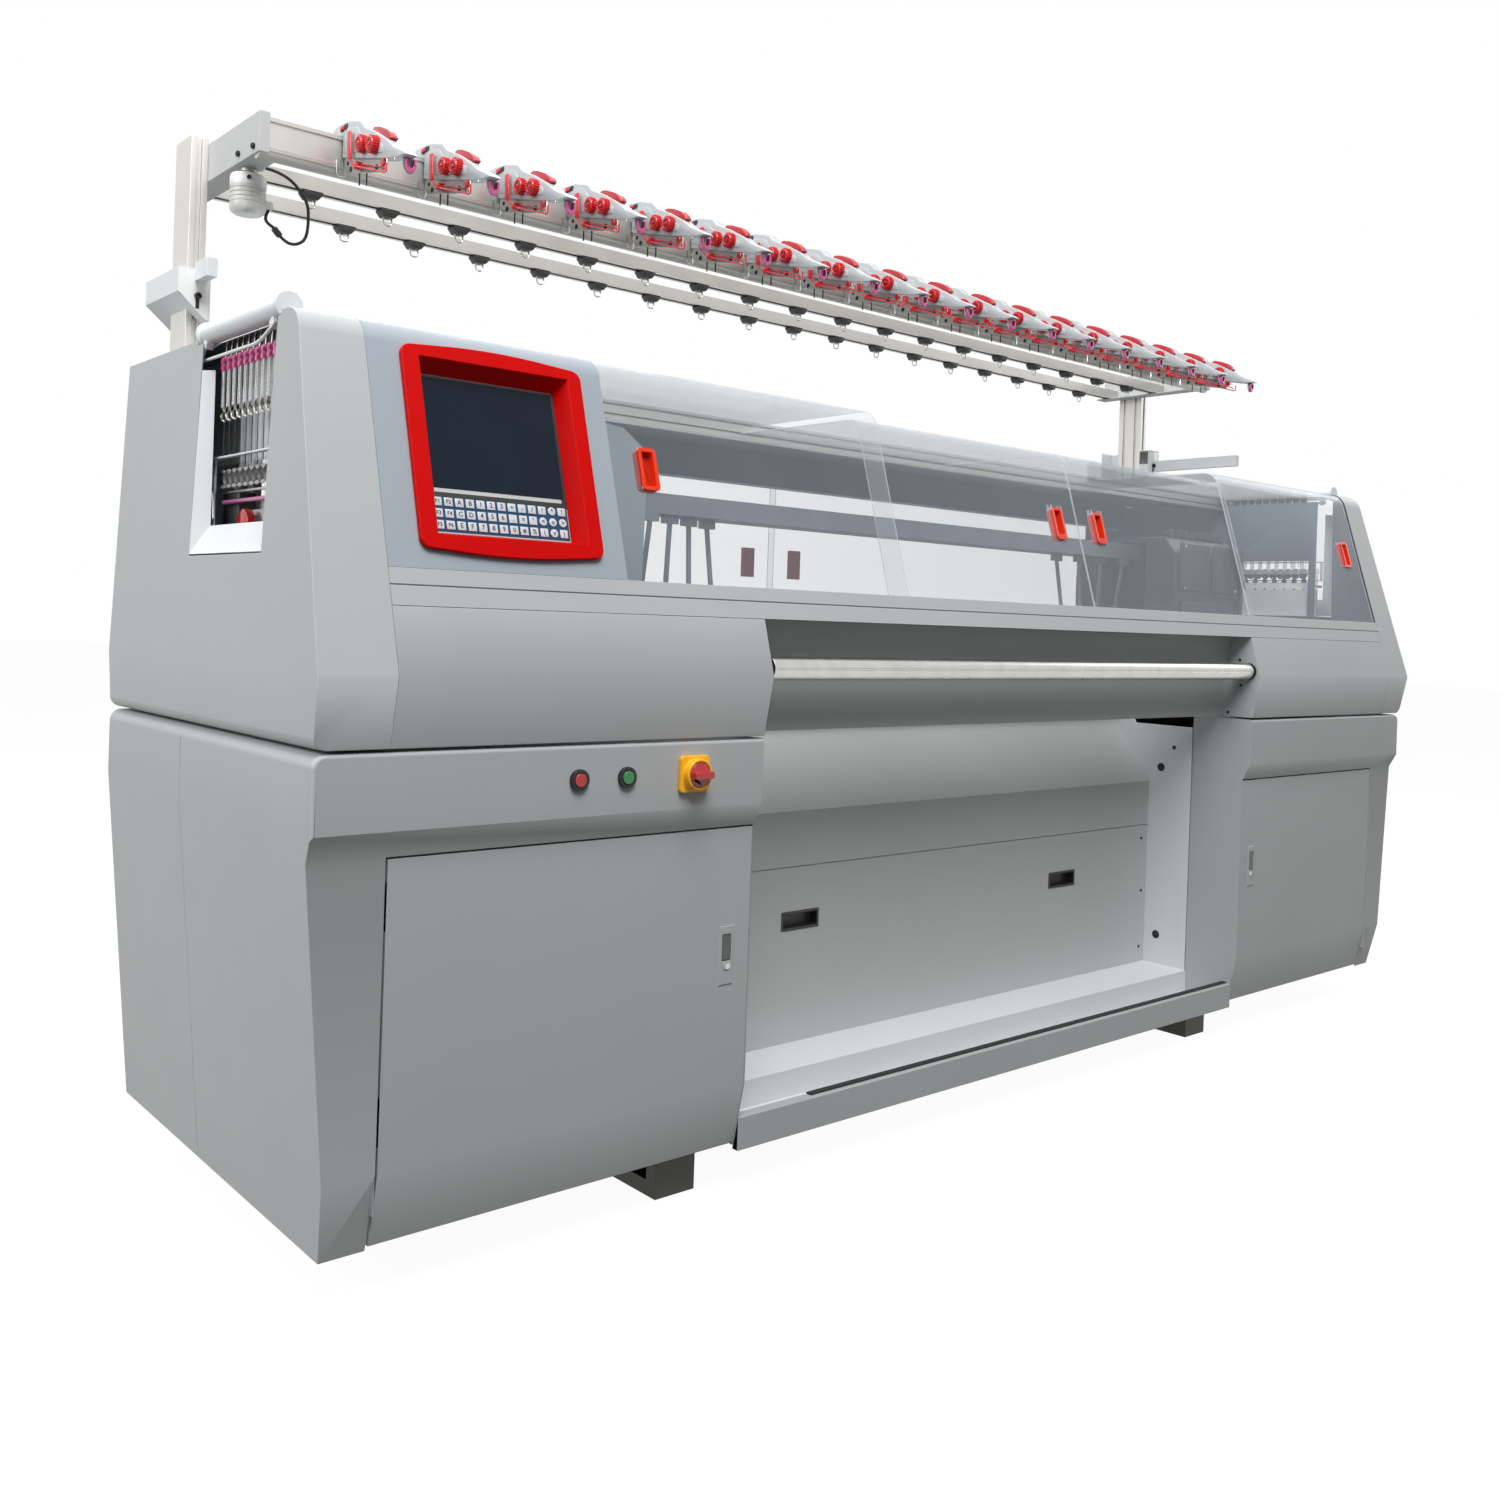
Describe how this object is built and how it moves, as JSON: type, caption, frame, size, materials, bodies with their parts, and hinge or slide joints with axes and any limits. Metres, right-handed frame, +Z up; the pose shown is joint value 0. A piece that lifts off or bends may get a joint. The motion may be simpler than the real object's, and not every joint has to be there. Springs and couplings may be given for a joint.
{
  "type": "industrial knitting machine",
  "caption": "Flat-bed knitting machine: two cabinets, sloping housing with sliding clear covers, display, needle beds and a raised yarn rack with tension units.",
  "frame": {"origin": "middle of the machine's footprint at floor level", "axes": "+Z up, +X along the machine, front faces -Y"},
  "size_m": [2.91, 0.894, 1.6725],
  "materials": {
    "light_paint": "satin",
    "dark_paint": "matte",
    "aluminium": "satin",
    "steel": "brushed",
    "rubber": "matte",
    "black_plastic": "matte",
    "red_plastic": "gloss",
    "green_plastic": "gloss",
    "yellow_plastic": "matte",
    "clear_sheet": "gloss",
    "carriage_paint": "satin",
    "lamp_plastic": "gloss"
  },
  "bodies": {
    "frame": {"back_panels": "light_paint", "bar_sockets": "black_plastic", "base_beam": "dark_paint", "base_frame": "dark_paint", "bay_side_plates": "light_paint", "bay_tray": "light_paint", "beam_strip": "rubber", "button_bezels": "steel", "cabinet_equipment": "dark_paint", "cable_connector": "black_plastic", "control_panel": "black_plastic", "cover_track": "aluminium", "display_bezel": "red_plastic", "display_panel": "light_paint", "feeler_arms": "black_plastic", "finger_pulls": "black_plastic", "guide_rails": "aluminium", "lamp_cable": "rubber", "lamp_tail": "rubber", "left_cabinet": "light_paint", "left_front_panel": "light_paint", "left_housing": "light_paint", "lower_bay_cover": "light_paint", "needle_beds": "dark_paint", "post_brackets": "light_paint", "rack_end_plates": "light_paint", "rack_posts": "aluminium", "rack_rail": "aluminium", "rear_roof": "light_paint", "rear_track": "aluminium", "recess_guard": "light_paint", "right_cabinet": "light_paint", "right_housing": "light_paint", "side_arms": "clear_sheet", "side_guides": "light_paint", "skids": "dark_paint", "support_arms": "aluminium", "switch_base": "yellow_plastic", "tension_knobs": "red_plastic", "tension_units": "red_plastic", "upper_bay_cover": "light_paint", "warning_lamp": "lamp_plastic", "yarn_holders": "black_plastic", "yarn_rails": "aluminium"},
    "left_door": {"left_door": "light_paint"},
    "right_door": {"right_door": "light_paint"},
    "left_lock_paddle": {"left_lock_paddle": "steel"},
    "right_lock_paddle": {"right_lock_paddle": "steel"},
    "red_button": {"red_button": "red_plastic"},
    "green_button": {"green_button": "green_plastic"},
    "switch_knob": {"switch_knob": "red_plastic"},
    "operating_bar": {"operating_bar": "steel"},
    "front_cover_1": {"front_cover_1": "clear_sheet"},
    "front_cover_2": {"front_cover_2": "clear_sheet"},
    "front_cover_3": {"front_cover_3": "clear_sheet"},
    "front_cover_4": {"front_cover_4": "clear_sheet"},
    "rear_cover_left": {"rear_cover_left": "clear_sheet"},
    "rear_cover_right": {"rear_cover_right": "clear_sheet"},
    "carriage": {"carriage": "carriage_paint"},
    "takedown_roller": {"takedown_roller": "steel"}
  },
  "joints": [
    {"name": "left_door_hinge", "type": "hinge", "parent": "frame", "child": "left_door", "pos_m": [-1.324, -0.389, 0.38], "axis": [0, 0, -1], "range_deg": [0, 100]},
    {"name": "right_door_hinge", "type": "hinge", "parent": "frame", "child": "right_door", "pos_m": [1.324, -0.389, 0.38], "axis": [0, 0, 1], "range_deg": [0, 100]},
    {"name": "left_paddle_tilt", "type": "hinge", "parent": "left_door", "child": "left_lock_paddle", "pos_m": [-0.773, -0.397, 0.381], "axis": [1, 0, 0], "range_deg": [0, 50]},
    {"name": "right_paddle_tilt", "type": "hinge", "parent": "right_door", "child": "right_lock_paddle", "pos_m": [0.773, -0.397, 0.381], "axis": [1, 0, 0], "range_deg": [0, 50]},
    {"name": "red_button_press", "type": "slide", "parent": "frame", "child": "red_button", "axis": [0, 1, 0], "range_m": [0, 0.004], "stiffness_N_per_m": 600, "springref_m": -0.002},
    {"name": "green_button_press", "type": "slide", "parent": "frame", "child": "green_button", "axis": [0, 1, 0], "range_m": [0, 0.004], "stiffness_N_per_m": 600, "springref_m": -0.002},
    {"name": "main_switch_turn", "type": "hinge", "parent": "frame", "child": "switch_knob", "pos_m": [-0.865, -0.435, 0.671], "axis": [0, 1, 0], "range_deg": [0, 90]},
    {"name": "operating_bar_turn", "type": "hinge", "parent": "frame", "child": "operating_bar", "pos_m": [0, -0.403, 0.827], "axis": [1, 0, 0], "range_deg": [-15, 15], "stiffness_Nm_per_rad": 8},
    {"name": "front_cover_1_slide", "type": "slide", "parent": "frame", "child": "front_cover_1", "axis": [1, 0, 0], "range_m": [0, 0.5]},
    {"name": "front_cover_2_slide", "type": "slide", "parent": "frame", "child": "front_cover_2", "axis": [1, 0, 0], "range_m": [-0.5, 0]},
    {"name": "front_cover_3_slide", "type": "slide", "parent": "frame", "child": "front_cover_3", "axis": [1, 0, 0], "range_m": [0, 0.5]},
    {"name": "front_cover_4_slide", "type": "slide", "parent": "frame", "child": "front_cover_4", "axis": [1, 0, 0], "range_m": [-0.5, 0]},
    {"name": "rear_cover_left_slide", "type": "slide", "parent": "frame", "child": "rear_cover_left", "axis": [1, 0, 0], "range_m": [0, 1.1]},
    {"name": "rear_cover_right_slide", "type": "slide", "parent": "frame", "child": "rear_cover_right", "axis": [1, 0, 0], "range_m": [-1.1, 0]},
    {"name": "carriage_traverse", "type": "slide", "parent": "frame", "child": "carriage", "axis": [1, 0, 0], "range_m": [-1.75, 0.1]},
    {"name": "takedown_roller_spin", "type": "hinge", "parent": "frame", "child": "takedown_roller", "pos_m": [0, 0.01, 0.65], "axis": [1, 0, 0], "continuous": true}
  ]
}
